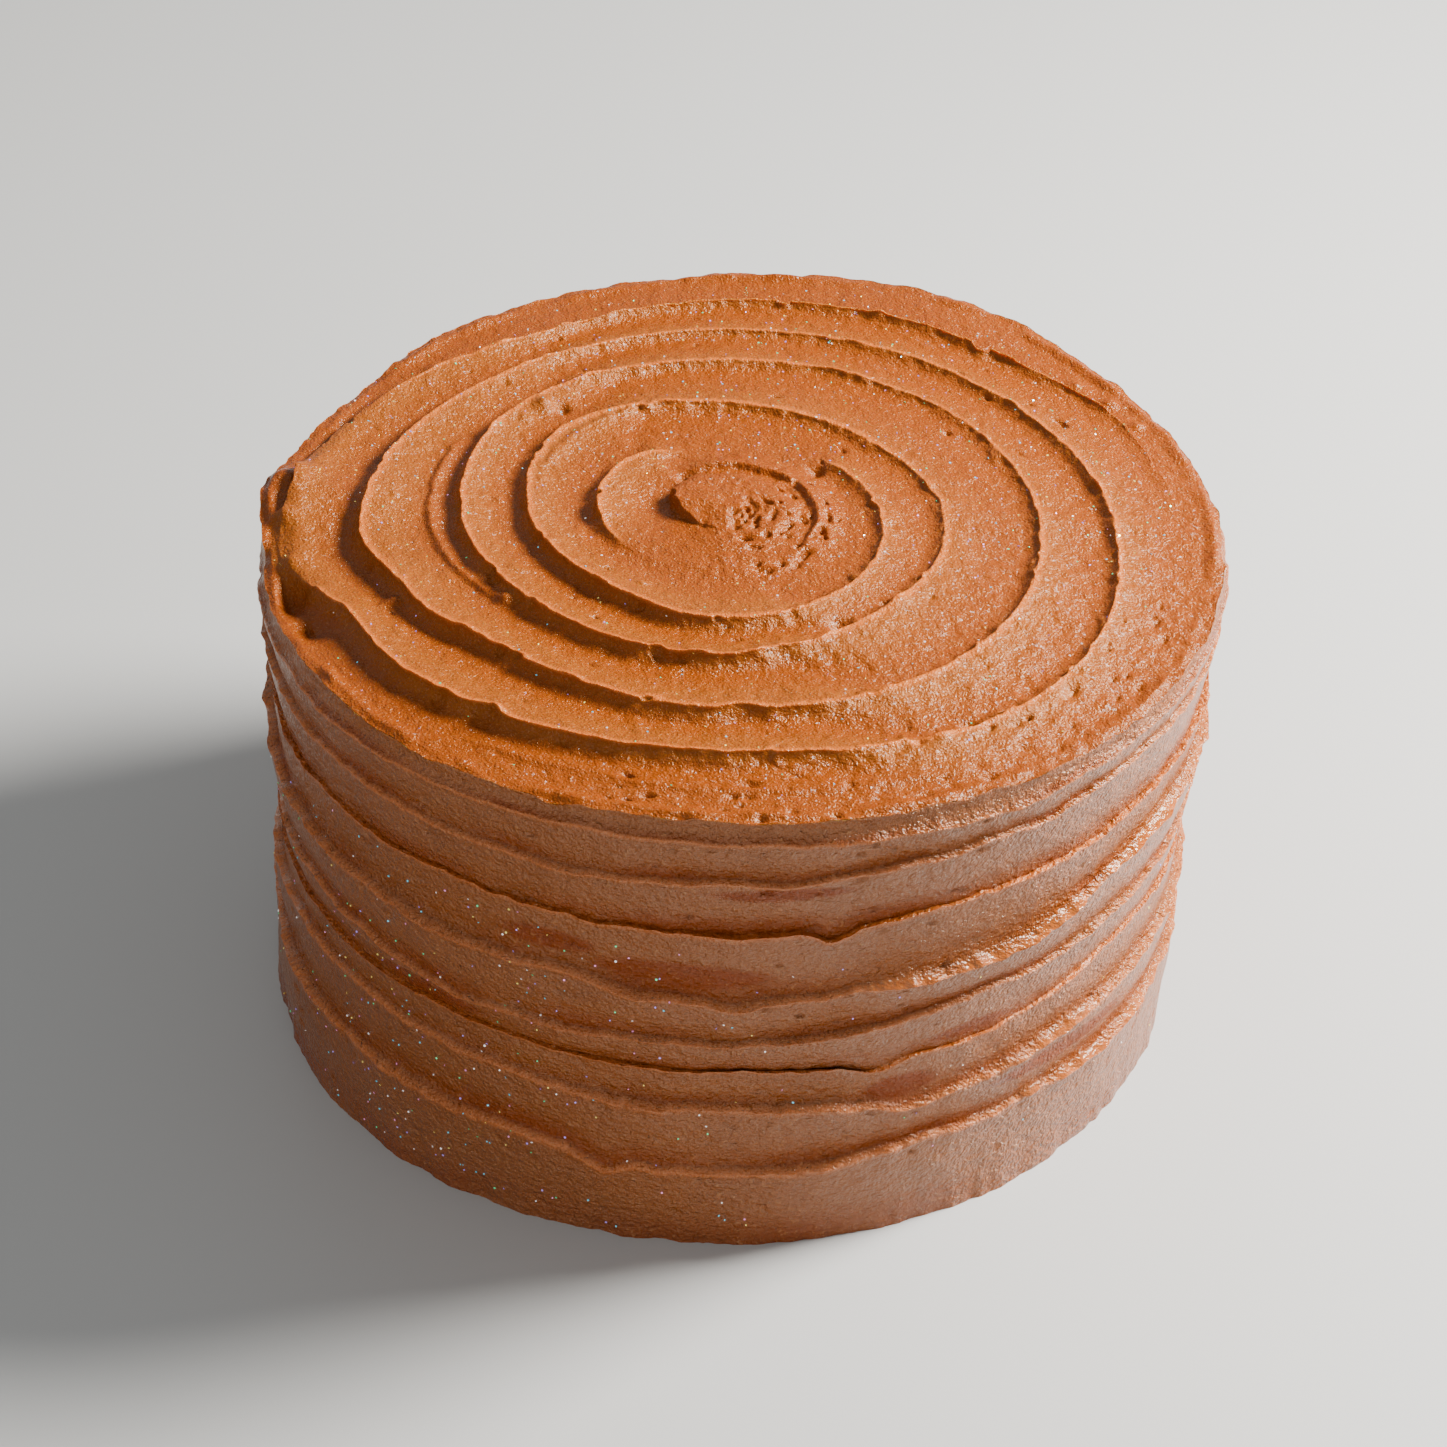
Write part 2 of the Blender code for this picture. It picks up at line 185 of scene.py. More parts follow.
# Share of the glitter that lies on top, and of the rest, the shares at the left and on the lowest ring.
GLITTER_ON_TOP = 0.66
GLITTER_AT_LEFT = 0.7
GLITTER_LOWEST = 0.6
FLAKE_SIDES = 6
FLAKE_THICKNESS = 0.00005

# The camera as found from the photo: angles in degrees, place in metres before MIDDLE is taken off.
CAMERA_PLACE = (-0.00523, -0.57442, 0.48948)
CAMERA_DIP = 37.425
CAMERA_TURN = 0.555
CAMERA_ROLL = 1.298
PHOTO_PIXELS = 1447
FOCAL_PIXELS = 4125.4
SENSOR_WIDTH = 36.0

# Where the lights stand, from the middle of the cake: angle round, angle up, and distance in metres.
KEY_PLACE = (15, 38.5, 0.75)
BOUNCE_PLACE = (250, 14, 0.9)
BOUNCE_SIZE = 0.8


def linear_colour(text):
    """An sRGB hex colour as linear red, green, blue and alpha."""
    parts = [int(text[i:i + 2], 16) / 255.0 for i in (1, 3, 5)]
    return [c / 12.92 if c <= 0.04045 else ((c + 0.055) / 1.055) ** 2.4 for c in parts] + [1.0]


def round_point(angle, radius):
    """Where a point at this angle and distance from the middle lies, as x and y."""
    turned = np.radians(angle)
    return radius * np.cos(turned), radius * np.sin(turned)


def smooth(value, low, high):
    """Rises smoothly from 0 at low to 1 at high."""
    share = np.clip((value - low) / (high - low), 0.0, 1.0)
    return share * share * (3.0 - 2.0 * share)


def waves(angle, orders):
    """A closed wavy line: each entry is waves per turn, height and the angle of a wave's top."""
    return sum(size * np.cos(np.radians(n * (angle - top))) for n, size, top in orders)


def turned_by(angle, start):
    """The signed turn from start to angle, between -180 and 180 degrees."""
    return (angle - start + 180.0) % 360.0 - 180.0


def corner_shares(ix, iy, iz, seed):
    """A repeatable share from -1 to 1 for each lattice corner."""
    mixed = (ix * 73856093) ^ (iy * 19349663) ^ (iz * 83492791) ^ (seed * 668265263)
    mixed = (mixed ^ (mixed >> 13)) * 1274126177
    mixed = (mixed ^ (mixed >> 16)) & 0xFFFF
    return mixed / 32767.5 - 1.0


def noise(x, y, z, size, seed):
    """Smooth noise from about -1 to 1, with lumps about as large as size. Each use has its own seed."""
    cells = [np.asarray(axis) / size for axis in np.broadcast_arrays(x, y, z)]
    lows = [np.floor(cell).astype(np.int64) for cell in cells]
    shares = [cell - low for cell, low in zip(cells, lows)]
    blends = [share * share * (3.0 - 2.0 * share) for share in shares]
    total = 0.0
    for dx in (0, 1):
        for dy in (0, 1):
            for dz in (0, 1):
                weight = 1.0
                for blend, step in zip(blends, (dx, dy, dz)):
                    weight = weight * (blend if step else 1.0 - blend)
                total = total + weight * corner_shares(lows[0] + dx, lows[1] + dy, lows[2] + dz, seed)
    return total


def rough_noise(x, y, z, size, seed, octaves=3):
    """Noise with finer noise on it, each octave half as large and half as high."""
    total, share, reach = 0.0, 1.0, 0.0
    for octave in range(octaves):
        total = total + share * noise(x, y, z, size / 2**octave, seed + 17 * octave)
        reach += share
        share *= 0.5
    return total / reach


def swirl_radius(turn):
    """How far the crest is from the swirl's centre, this many turns in from the left of the rim."""
    radii = np.concatenate([np.array(row) for row in KNIFE_TURNS])
    place = np.clip((turn + 1.0) * 8.0, 1.0, len(radii) - 2.001)
    knot = np.floor(place).astype(int)
    share = place - knot
    before, start, end, after = (radii[knot + step] for step in (-1, 0, 1, 2))
    bend = 2.0 * before - 5.0 * start + 4.0 * end - after
    twist = 3.0 * (start - end) + after - before
    radius = start + 0.5 * share * (end - before + share * (bend + share * twist))
    for at, width, shift in KNIFE_SKIPS:
        radius = radius + shift * np.exp(-(((turn - at) / width) ** 2))
    return radius * MM


def crest_strength(turn):
    """The crest's height as a share of its full height: lower on the right, and fading at both ends."""
    angle = SWIRL_START_ANGLE + 360.0 * turn
    swell = 0.70 - 0.28 * np.cos(np.radians(angle - 35.0)) + 0.06 * np.sin(2.0 * math.pi * 2.3 * turn)
    gap = smooth(turn, 3.60, 3.65) * (1.0 - smooth(turn, 3.79, 3.86))
    taper = (1.0 - 0.03 * np.clip(turn, 0.0, LAST_TURN)) * (1.0 - 0.85 * gap)
    start = smooth(turn, FIRST_TURN, FIRST_TURN + 0.12)
    return swell * taper * start * (1.0 - smooth(turn, LAST_TURN - 0.16, LAST_TURN))


def steep_outside(angle):
    """1 where the crest's outer face is its steep one, on the left, and 0 where its inner face is."""
    return np.clip((0.05 + np.cos(np.radians(angle - STEEP_ANGLE))) / 0.26, 0.0, 1.0)


def round_swirl(x, y):
    """Distance from the swirl's centre, and the angle round it."""
    across, along = x - SWIRL_CENTRE[0], y - SWIRL_CENTRE[1]
    return np.hypot(across, along), np.degrees(np.arctan2(along, across))


def groove_height(x, y):
    """The knife's groove: height above the trough, share of the crest's height, and its steep faces."""
    radius, angle = round_swirl(x, y)
    # The crest wanders, with small tears and curls along it.
    radius = radius + 0.35 * MM * rough_noise(x, y, 0.0, 5 * MM, 3)
    radius = radius + 0.16 * MM * rough_noise(x, y, 0.0, 1.6 * MM, 11, 2)
    radius = radius + 0.9 * MM * smooth(rough_noise(x, y, 0.0, 3.5 * MM, 12, 2), 0.35, 0.8)
    part_turn = ((angle - SWIRL_START_ANGLE) / 360.0) % 1.0
    steep = steep_outside(angle)
    height, profile, face = (np.zeros_like(radius) for _ in range(3))
    for whole in range(-1, int(LAST_TURN) + 2):
        turn = part_turn + whole
        outer, inner = swirl_radius(turn), swirl_radius(turn + 1.0)
        inside = (radius <= outer) & (radius > inner)
        gentle = 0.95 * np.maximum(outer - inner, 2.0 * FACE_WIDTH)
        fall_width = FACE_WIDTH + (gentle - FACE_WIDTH) * steep
        rise_width = gentle - (gentle - FACE_WIDTH) * steep
        falling = np.clip(1.0 - (outer - radius) / fall_width, 0.0, 1.0) ** (2.4 - 0.6 * steep)
        rising = np.clip(1.0 - (radius - inner) / rise_width, 0.0, 1.0) ** (1.9 + 0.5 * steep)
        crests = crest_strength(turn) * falling + crest_strength(turn + 1.0) * rising
        height = np.where(inside, crests, height)
        profile = np.where(inside, np.maximum(falling, rising), profile)
        face = np.where(inside, falling * (1.0 - steep) + rising * steep, face)
    return CREST_HEIGHT * height, profile, face


def rim_swell(angle, which):
    """How far the rim swells out (which 2) or up (which 3) at this angle."""
    return sum(s[which] * np.exp(-((turned_by(angle, s[0]) / s[1]) ** 2)) for s in RIM_SWELLS)


def rim_tear(angle, which):
    """How far the rim's torn edge strays out (which 0) or up (which 1) at this angle."""
    x, y = round_point(angle, RIM_RADIUS)
    return RIM_TEAR[which] * rough_noise(x, y, 0.0, 5 * MM, 22 + which, 4)


def rim_height(angle):
    """The rim's height without its torn edge."""
    return RIM_HEIGHT + waves(angle, RIM_WAVES) + rim_swell(angle, 3)


def rim_radius(angle):
    """The rim's distance from the cake's axis, without its torn edge."""
    return RIM_RADIUS + RIM_LIP + waves(angle, OUTLINE_WAVES) + rim_swell(angle, 2)


def axis_at(height):
    """The cake's own axis leans a little: its place at this height, seen from above."""
    share = height / RIM_HEIGHT
    return tuple(foot + (rim - foot) * share for foot, rim in zip(FOOT_CENTRE, RIM_CENTRE))


def bump_at(x, y, spot, reach, height):
    """One rounded lump, or a dent where height is negative."""
    away = np.hypot(x - spot[0], y - spot[1])
    return height * np.exp(-((away / reach) ** 2))


def polar_spot(angle, radius):
    """A point of the top at this angle and distance from the swirl's centre, in millimetres."""
    turned, reach = math.radians(angle), radius * MM
    return SWIRL_CENTRE[0] + reach * math.cos(turned), SWIRL_CENTRE[1] + reach * math.sin(turned)


def pits(x, y):
    """Pinholes and short torn slots from beaten air, thickest in the middle and at the front right."""
    draws = np.random.default_rng(7)
    spots = [(draws.uniform(-70, 40), draws.uniform(1, 19)) for _ in range(60)]
    spots += [(draws.uniform(255, 345), draws.uniform(70, 79.5)) for _ in range(46)]
    spots += [(draws.uniform(0, 360), 76.0 * math.sqrt(draws.uniform(0.02, 1.0))) for _ in range(40)]
    depth = np.zeros_like(x)
    for angle, radius in spots:
        place = polar_spot(angle, radius)
        wide, turn = draws.uniform(0.25, 0.65), math.radians(angle + draws.uniform(-30, 30))
        long = wide * draws.uniform(1.0, 2.6)
        across, along = (x - place[0]) / MM, (y - place[1]) / MM
        outward = across * math.cos(turn) + along * math.sin(turn)
        sideways = along * math.cos(turn) - across * math.sin(turn)
        hole = np.exp(-((outward / wide) ** 2) - (sideways / long) ** 2)
        depth = depth - draws.uniform(0.35, 0.95) * MM * hole
    return depth


def middle_height(x, y):
    """The slab of icing in the middle that tore off the knife: an arc behind it and a torn left end."""
    across, along = (x - SWIRL_CENTRE[0]) / MM, (y - SWIRL_CENTRE[1]) / MM
    wander = rough_noise(x, y, 0.0, 3 * MM, 41)
    radius = np.hypot(across, along) + 0.5 * wander
    angle = np.degrees(np.arctan2(along, across))
    arc_reach = smooth(angle, -50, -15) * (1.0 - smooth(angle, 95, 122))
    arc_inner = smooth(radius, 14.2, 15.6)
    arc_outer = np.clip(1.0 - (radius - 15.6) / 5.5, 0.0, 1.0) ** 1.6
    arc = np.where(radius < 15.6, arc_inner, arc_outer) * arc_reach
    torn = np.where(along > 4.0, 0.035, 0.09) * (along - 4.0) ** 2 - 8.6
    torn = torn - 1.3 * np.exp(-((along - 5.8) ** 2)) + np.exp(-(((along - 8.8) / 0.9) ** 2))
    edge = smooth(across - torn + 0.9 * rough_noise(x, y, 0.0, 2.2 * MM, 43), -0.45, 0.45)
    back = 1.0 - smooth(along + 0.15 * across + wander, 11.0, 13.0)
    front = smooth(along + wander, -6.0, 3.5)
    near_arc = smooth(radius, 9.0, 14.6)
    swell = 0.8 * smooth(along, -16.0, -3.0) * smooth(across, -9.0, 2.0) * (1.0 - near_arc)
    slope = (1.0 - 0.35 * smooth(across, -6.0, 10.0)) * (1.0 - 0.75 * near_arc)
    slab = edge * back * front * slope
    scoop = np.exp(-(((radius - 13.0) / 4.5) ** 2)) * np.exp(-((turned_by(angle, 165) / 36.0) ** 2))
    mound = 0.6 * (1.0 - smooth(radius, 13.0, 22.0))
    crumbs = 0.17 * rough_noise(x, y, 0.0, 1.3 * MM, 47) * (1.0 - smooth(radius, 14.0, 24.0))
    crumbs = crumbs * smooth(across, -8.0, -3.0)
    relief = 2.0 * slab + swell * (1.0 - front) + arc - 0.9 * scoop * (1.0 - edge) + mound + crumbs
    return MM * relief


def faint_line(x, y, line, width, height):
    """A low lip that the knife left between two crests, through points given as angle and radius."""
    radius, angle = round_swirl(x, y)
    radius = radius / MM + 0.4 * rough_noise(x, y, 0.0, 3 * MM, 29)
    angle = angle % 360.0
    angles, radii = zip(*line)
    away = radius - np.interp(angle, angles, radii)
    fade = smooth(angle, angles[0], angles[0] + 10) * (1.0 - smooth(angle, angles[-1] - 8, angles[-1]))
    outer, inner = np.exp(-((away / (0.4 * width)) ** 2)), np.exp(np.minimum(away, 0.0) / width)
    return height * MM * fade * np.where(away > 0, outer, inner)


def top_height(x, y, fine=True):
    """Height of the iced top at points seen from above, with or without its fine relief."""
    across, along = x - RIM_CENTRE[0], y - RIM_CENTRE[1]
    angle = np.degrees(np.arctan2(along, across))
    reach = np.minimum(np.hypot(across, along) / rim_radius(angle), 1.0)
    dome = DOME_HEIGHT * (1.0 - reach**2)
    edge = smooth(reach, 0.91, 0.995)
    rise = (rim_height(angle) - RIM_HEIGHT) * smooth(reach, 0.6, 1.0)
    rise = rise + rim_tear(angle, 1) * smooth(reach, 0.982, 1.0)
    groove, profile, face = groove_height(x, y)
    relief = groove * (1.0 - edge)
    if not fine:
        return RIM_HEIGHT + rise + dome + relief
    # Curls along the crests, and lumps where the icing under them broke.
    curls = 0.45 * smooth(rough_noise(x, y, 0.0, 5 * MM, 33, 2), 0.25, 0.7) * profile**4
    on_face = smooth(face, 0.05, 0.4) * (1.0 - smooth(face, 0.75, 1.0))
    broken = 0.5 * rough_noise(x, y, 0.0, 2.4 * MM, 35) * on_face
    relief = relief + MM * (curls + broken) * smooth(groove, 0.0, 0.8 * MM) * (1.0 - edge)
    relief = relief + middle_height(x, y)
    lumps = sum(bump_at(x, y, polar_spot(at, far), wide * MM, high * MM) for at, far, wide, high in LUMPS)
    relief = relief + lumps * (1.0 - smooth(reach, 0.95, 1.0))
    for line, width, height in FAINT_LINES:
        relief = relief + faint_line(x, y, line, width, height)
    bead = smooth(reach, 0.955, 0.982) * (1.0 - smooth(reach, 0.982, 1.0))
    relief = relief + 0.9 * MM * bead * np.clip(0.35 + rough_noise(x, y, 0.0, 9 * MM, 37), 0.0, 1.0)
    coarse = np.exp(-((turned_by(angle, 318) / 32.0) ** 2)) * smooth(reach, 0.45, 0.75)
    relief = relief + (0.10 + 0.22 * coarse) * MM * rough_noise(x, y, 0.0, 2.2 * MM, 31)
    return RIM_HEIGHT + rise + dome + relief + pits(x, y)


def ridge_height(number, angle):
    """A side ridge's height at any angle: smooth between its named heights, with its sags."""
    heights = RIDGES[number][0]
    ends = (heights[0] + heights[-1]) / 2.0
    known = np.array([*RIDGE_ANGLES, RIDGE_ANGLES[-1] + 60, RIDGE_ANGLES[0] + 300, RIDGE_ANGLES[0] + 360])
    values = np.array([*heights, ends + 0.0012, ends - 0.0010, heights[0]])
    turned = (angle - RIDGE_ANGLES[0]) % 360.0 + RIDGE_ANGLES[0]
    left = np.clip(np.searchsorted(known, turned, side="right") - 1, 0, len(known) - 2)
    share = smooth(turned, known[left], known[left + 1])
    height = values[left] * (1.0 - share) + values[left + 1] * share
    for ridge, at, width, drop in RIDGE_SAGS:
        if ridge == number:
            height = height - drop * np.exp(-((turned_by(angle, at) / width) ** 2))
    return height


def wall_radius(angle, height):
    """The plain wall's radius, without ridges: a little waisted, and not quite round."""
    share = height / RIM_HEIGHT
    waist = 4.0 * share * (1.0 - share) * (WAIST_RADIUS - (FOOT_RADIUS + RIM_RADIUS) / 2.0)
    swell = rim_swell(angle, 2) * smooth(share, 0.86, 1.0)
    return FOOT_RADIUS + (RIM_RADIUS - FOOT_RADIUS) * share + waist + waves(angle, OUTLINE_WAVES) + swell


def footprint_middle():
    """The middle of the smooth outline's box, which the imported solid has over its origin."""
    angles = np.arange(0.0, 360.0, 3.75)
    lines = [(rim_height(angles), RIM_LIP)]
    lines += [(ridge_height(n, angles), RIDGES[n][1]) for n in range(len(RIDGES))]
    lines.append((np.zeros_like(angles), FOOT_FLARE))
    xs, ys = [], []
    for height, stand_out in lines:
        x, y = round_point(angles, wall_radius(angles, height) + stand_out)
        centre = axis_at(height)
        xs.append(centre[0] + x)
        ys.append(centre[1] + y)
    xs, ys = np.concatenate(xs), np.concatenate(ys)
    return (xs.min() + xs.max()) / 2.0, (ys.min() + ys.max()) / 2.0


MIDDLE = footprint_middle()


def vertex_places(mesh):
    """Every vertex's place, a row for each."""
    places = np.empty(len(mesh.vertices) * 3)
    mesh.vertices.foreach_get("co", places)
    return places.reshape(-1, 3)


def set_places(mesh, places):
    """Moves every vertex to its row of places."""
    mesh.vertices.foreach_set("co", np.ascontiguousarray(places, dtype=np.float32).ravel())
    mesh.update()


def set_attribute(mesh, name, values):
    """Stores one number for each vertex, for the material to read."""
    attribute = mesh.attributes.new(name, "FLOAT", "POINT")
    attribute.data.foreach_set("value", np.asarray(values, dtype=np.float32))


def add_piece(name, grid, material):
    """Makes a smooth shaded object of a bmesh and gives it its material."""
    mesh = bpy.data.meshes.new(name)
    grid.to_mesh(mesh)
    grid.free()
    piece = bpy.data.objects.new(name, mesh)
    bpy.context.scene.collection.objects.link(piece)
    mesh.materials.append(material)
    mesh.shade_smooth()
    return piece


def closed_band(columns, rows, whole=False):
    """A closed tube for a ring of icing: z counts its rows down, and its back wall has half the radius.

    A whole one has a cap at each end in place of the back wall.
    """
    grid = bmesh.new()
    bmesh.ops.create_circle(grid, segments=columns, radius=1.0, cap_ends=False)
    top_ring = list(grid.edges)
    ring = top_ring
    ends = list(top_ring)
    for row in range(rows if whole else rows + 2):
        stretched = bmesh.ops.extrude_edge_only(grid, edges=ring)["geom"]
        ring = [item for item in stretched if isinstance(item, bmesh.types.BMEdge) and item.is_boundary]
        size = 1.0 if row < rows else 0.5
        for vert in (item for item in stretched if isinstance(item, bmesh.types.BMVert)):
            flat = vert.co.xy.normalized() * size
            vert.co = (flat.x, flat.y, -min(row + 1, rows) if row <= rows else 0.0)
        if row == rows - 1:
            ends += ring
    if whole:
        bmesh.ops.contextual_create(grid, geom=top_ring)
        bmesh.ops.contextual_create(grid, geom=ring)
    else:
        bmesh.ops.bridge_loops(grid, edges=top_ring + ring)
    for edge in ends:
        edge.smooth = False
    bmesh.ops.recalc_face_normals(grid, faces=grid.faces)
    return grid


def add_node(tree, kind, inputs=None, **settings):
    """Adds a node: its settings, then its sockets, where a socket is linked and a value is set."""
    node = tree.nodes.new(kind)
    for name, value in settings.items():
        setattr(node, name, value)
    for name, value in (inputs or {}).items():
        if isinstance(value, bpy.types.NodeSocket):
            tree.links.new(value, node.inputs[name])
        else:
            node.inputs[name].default_value = value
    return node


def mixed(tree, share, first, second):
    """Two colours mixed: each is a socket or a plain colour."""
    plain = [c if isinstance(c, bpy.types.NodeSocket) else list(c) + [1.0] for c in (first, second)]
    node = add_node(tree, "ShaderNodeMix", {0: share, 6: plain[0], 7: plain[1]}, data_type="RGBA")
    return node.outputs[2]


def ranged(tree, value, start, end):
    """A number that goes from start to end as value goes from 0 to 1."""
    node = add_node(tree, "ShaderNodeMapRange", {"Value": value, "To Min": start, "To Max": end})
    return node.outputs["Result"]


def stored(tree, name):
    """The number that the mesh stores under this name."""
    return add_node(tree, "ShaderNodeAttribute", attribute_name=name).outputs["Fac"]


def new_material(name):
    """An empty Principled material, its tree and its shader."""
    material = bpy.data.materials.new(name)
    material.use_nodes = True
    return material, material.node_tree, material.node_tree.nodes["Principled BSDF"]


def buttercream(name, look, sheen, grains, sparkle, shine, drag, glaze, glow, rough):
    """Whipped chocolate buttercream, smeared by a knife: satin fat with a fine sugar grain in it, with
    painted shade in its hollows, a painted highlight on thin edges and painted glints in the grain.
    """
    material, tree, shader = new_material(name)
    place = add_node(tree, "ShaderNodeTexCoord").outputs["Object"]
    pressed_and_shaded, lip, bead = (stored(tree, name) for name in ("pressed_and_shaded", "lip", "shiny"))
    # Cloudy patches of about 9 mm where more air was beaten in, a shade lighter than the rest.
    cloud = add_node(tree, "ShaderNodeTexNoise", {"Vector": place, "Scale": 110.0, "Detail": 3.0})
    patch = mixed(tree, cloud.outputs["Fac"], look.deep_colour, look.light_colour)
    # Icing pressed smooth is darker. The same darker colour is painted shade in the hollows: the troughs
    # of the top and the low part of each band round the side.
    shaded_base = mixed(tree, pressed_and_shaded, patch, look.pressed_and_shaded_colour)
    # Thin edges of the crests and ridges are painted brighter and more orange: a painted highlight,
    # standing in for the light they let through and catch.
    edge = mixed(tree, lip, shaded_base, look.lip_highlight_colour)
    # Sugar grain, drawn 0.4 to 0.7 mm wide, which is coarser than it is, so that it shows. Its paler
    # specks are painted glints of the sugar.
    grain = add_node(tree, "ShaderNodeTexNoise", {"Vector": place, "Scale": grains, "Detail": 2.0})
    glint_speck = add_node(tree, "ShaderNodeMapRange", {
        "Value": grain.outputs["Fac"], "From Min": 0.58, "From Max": 0.76, "To Max": 0.28,
    })
    glint_specked = mixed(tree, glint_speck.outputs["Result"], edge, look.glint_speck_colour)
    # Soft lumps that the knife left, about 2.4 mm wide, and lower than wide round the side.
    level = add_node(tree, "ShaderNodeMapping", {"Vector": place, "Scale": (1.0, 1.0, drag)})
    lumps = add_node(tree, "ShaderNodeTexNoise", {
        "Vector": level.outputs["Vector"], "Scale": 420.0, "Detail": 4.0, "Roughness": 0.6,
    })
    # The shiny beads along some ridges have a smooth skin, without the grain.
    grain_depth = ranged(tree, bead, sparkle, SKIN_GRAIN)
    fine = add_node(tree, "ShaderNodeBump", {
        "Height": grain.outputs["Fac"], "Strength": grain_depth, "Distance": 0.7 * MM,
    })
    middle = add_node(tree, "ShaderNodeBump", {
        "Height": lumps.outputs["Fac"], "Strength": rough, "Distance": 0.9 * MM,
        "Normal": fine.outputs["Normal"],
    })
    gloss = ranged(tree, pressed_and_shaded, look.roughness, look.hollow_roughness)
    tree.links.new(glint_specked, shader.inputs["Base Color"])
    wetness = add_node(tree, "ShaderNodeMix", {0: bead, 2: gloss, 3: look.bead_roughness})
    tree.links.new(wetness.outputs[0], shader.inputs["Roughness"])
    # A little light goes through the fat and sugar, and softens the edges of small shadows.
    shader.inputs["Subsurface Weight"].default_value = glow
    shader.inputs["Subsurface Radius"].default_value = (1.0, 0.38, 0.15)
    shader.inputs["Subsurface Scale"].default_value = 0.9 * MM
    tree.links.new(middle.outputs["Normal"], shader.inputs["Normal"])
    # Sugar crystals under a film of fat: facets of about 0.3 mm that lie at odds and glint one by one.
    crystals = add_node(tree, "ShaderNodeTexVoronoi", {"Vector": place, "Scale": 3000.0})
    smeared = add_node(tree, "ShaderNodeBump", {
        "Height": lumps.outputs["Fac"], "Strength": 0.3, "Distance": 0.9 * MM,
    })
    centred = add_node(tree, "ShaderNodeVectorMath", {
        0: crystals.outputs["Color"], 1: (0.5, 0.5, 0.5),
    }, operation="SUBTRACT")
    tilted = add_node(tree, "ShaderNodeVectorMath", {
        0: centred.outputs[0], 1: (look.facet_tilt,) * 3, 2: smeared.outputs["Normal"],
    }, operation="MULTIPLY_ADD")
    facing = add_node(tree, "ShaderNodeVectorMath", {0: tilted.outputs[0]}, operation="NORMALIZE")
    tree.links.new(facing.outputs[0], shader.inputs["Coat Normal"])
    shader.inputs["Coat Weight"].default_value = glaze
    shader.inputs["Coat Roughness"].default_value = 0.17
    shader.inputs["Coat IOR"].default_value = 1.5
    shader.inputs["IOR"].default_value = 1.46
    # Where the knife pressed it, the icing is deep and clear: the pale sheen of the grain is gone. The
    # same mask holds the painted shade of the hollows, so the sheen drops there too.
    sheen_level = ranged(tree, pressed_and_shaded, shine, PRESSED_SHINE)
    tree.links.new(sheen_level, shader.inputs["Specular IOR Level"])
    # Reflections from straight on take some of the icing's colour: the sheen lies under a film of fat.
    shader.inputs["Specular Tint"].default_value = list(sheen) + [1.0]
    return material


def colour_setting(name, description, colour):
    """A colour property of one of the groups."""
    return FloatVectorProperty(
        name=name, description=description, subtype="COLOR", default=colour[:3], min=0.0, max=1.0,
    )


class CakeIcing(bpy.types.PropertyGroup):
    """Colours and gloss of the buttercream, with its painted shade, painted highlight and painted glints.
    """

    light_colour: colour_setting(
        "Light", "Buttercream with more air beaten in", linear_colour("#88450b"),
    )
    deep_colour: colour_setting("Deep", "Buttercream with less air in it", linear_colour("#783a07"))
    # Darker colour of icing pressed smooth, which is also used as painted shade in the hollows.
    pressed_and_shaded_colour: colour_setting(
        "Hollow", "Buttercream pressed smooth by the knife", linear_colour("#783103"),
    )
    # Painted highlight along the thin edges of the crests and ridges.
    lip_highlight_colour: colour_setting("Lip", "Thin edge of a crest or ridge", linear_colour("#a85518"))
    # Paler specks of the sugar grain: painted glints.
    glint_speck_colour: colour_setting("Speck", "Sugar grain at the surface", linear_colour("#c48a55"))
    top_sheen: colour_setting(
        "Top sheen", "Tint of the top's reflections seen from straight on", (1.0, 0.70, 0.34),
    )
    side_sheen: colour_setting(
        "Side sheen", "Tint of the side's reflections seen from straight on", (1.0, 0.86, 0.66),
    )
    roughness: FloatProperty(
        name="Roughness", description="Roughness of the grainy icing", default=0.30, min=0.0, max=1.0,
    )
    hollow_roughness: FloatProperty(
        name="Hollow roughness", description="Roughness where the knife pressed it smooth",
        default=0.20, min=0.0, max=1.0,
    )
    facet_tilt: FloatProperty(
        name="Facet tilt", description="How far the sugar crystals lie at odds",
        default=0.85, min=0.0, max=2.0,
    )
    bead_roughness: FloatProperty(
        name="Bead roughness", description="Roughness of the shiny beads along some ridges",
        default=0.14, min=0.0, max=1.0,
    )


class CakeGlitter(bpy.types.PropertyGroup):
    """The edible glitter dusted over the icing."""

    count: IntProperty(name="Flakes", description="How many flakes are scattered", default=1100, min=0)
    size: FloatProperty(
        name="Flake", description="Width of one flake", default=0.00036, unit="LENGTH", min=0.0001,
    )


class CakeStage(bpy.types.PropertyGroup):
    """The floor and the lights."""

    floor_colour: colour_setting("Floor", "Pale stone floor", linear_colour("#aeaeac"))
    key_power: FloatProperty(
        name="Key", description="Power of the window light from the right", subtype="POWER",
        default=33.0, min=0.0,
    )
    bounce_power: FloatProperty(
        name="Bounce", description="Power of the light bounced from the front left", subtype="POWER",
        default=2.6, min=0.0,
    )
    key_size: FloatProperty(
        name="Key size", description="Width of the window light", unit="LENGTH", default=0.28, min=0.01,
    )
    fill_power: FloatProperty(
        name="Fill", description="Brightness of the room around", default=0.46, min=0.0,
    )


